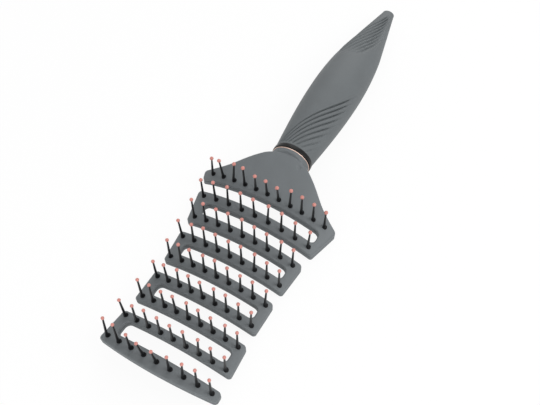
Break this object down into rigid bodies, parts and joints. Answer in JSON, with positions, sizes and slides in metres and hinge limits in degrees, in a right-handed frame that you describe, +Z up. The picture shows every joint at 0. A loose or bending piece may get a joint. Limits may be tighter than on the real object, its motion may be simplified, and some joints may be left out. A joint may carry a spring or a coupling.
{
  "type": "vent brush",
  "caption": "Vent hair brush with a zig-zag slotted head bowed both ways, rows of ball-tipped nylon pins, a two-ring collar and a tapering oval soft-touch handle.",
  "frame": {"origin": "middle of the bounding box's bottom, on the table that the brush lies on", "axes": "+Y along the brush towards the end of the handle, +Z up, the way that the pins point, +X across the head"},
  "size_m": [0.0688, 0.2422, 0.0352],
  "materials": {
    "head_plate": "soft-touch matt slate grey",
    "head_frame": "soft-touch matt slate grey",
    "pin_nylon": "semi-gloss black",
    "ball_tips": "satin coral pink",
    "rose_ring": "polished rose gold plating",
    "black_ring": "gloss black",
    "soft_grip": "soft-touch matt slate grey"
  },
  "bodies": {
    "root": {"front_plate": "head_plate", "back_frame": "head_frame", "pins_a": "pin_nylon", "pins_b": "pin_nylon", "pins_c": "pin_nylon", "pins_d": "pin_nylon", "pins_e": "pin_nylon", "pins_f": "pin_nylon", "pins_g": "pin_nylon", "pins_h": "pin_nylon", "pins_i": "pin_nylon", "tips_a": "ball_tips", "tips_b": "ball_tips", "tips_c": "ball_tips", "tips_d": "ball_tips", "tips_e": "ball_tips", "tips_f": "ball_tips", "tips_g": "ball_tips", "tips_h": "ball_tips", "tips_i": "ball_tips", "thin_ring": "rose_ring", "wide_ring": "black_ring", "handle": "soft_grip"}
  },
  "joints": []
}
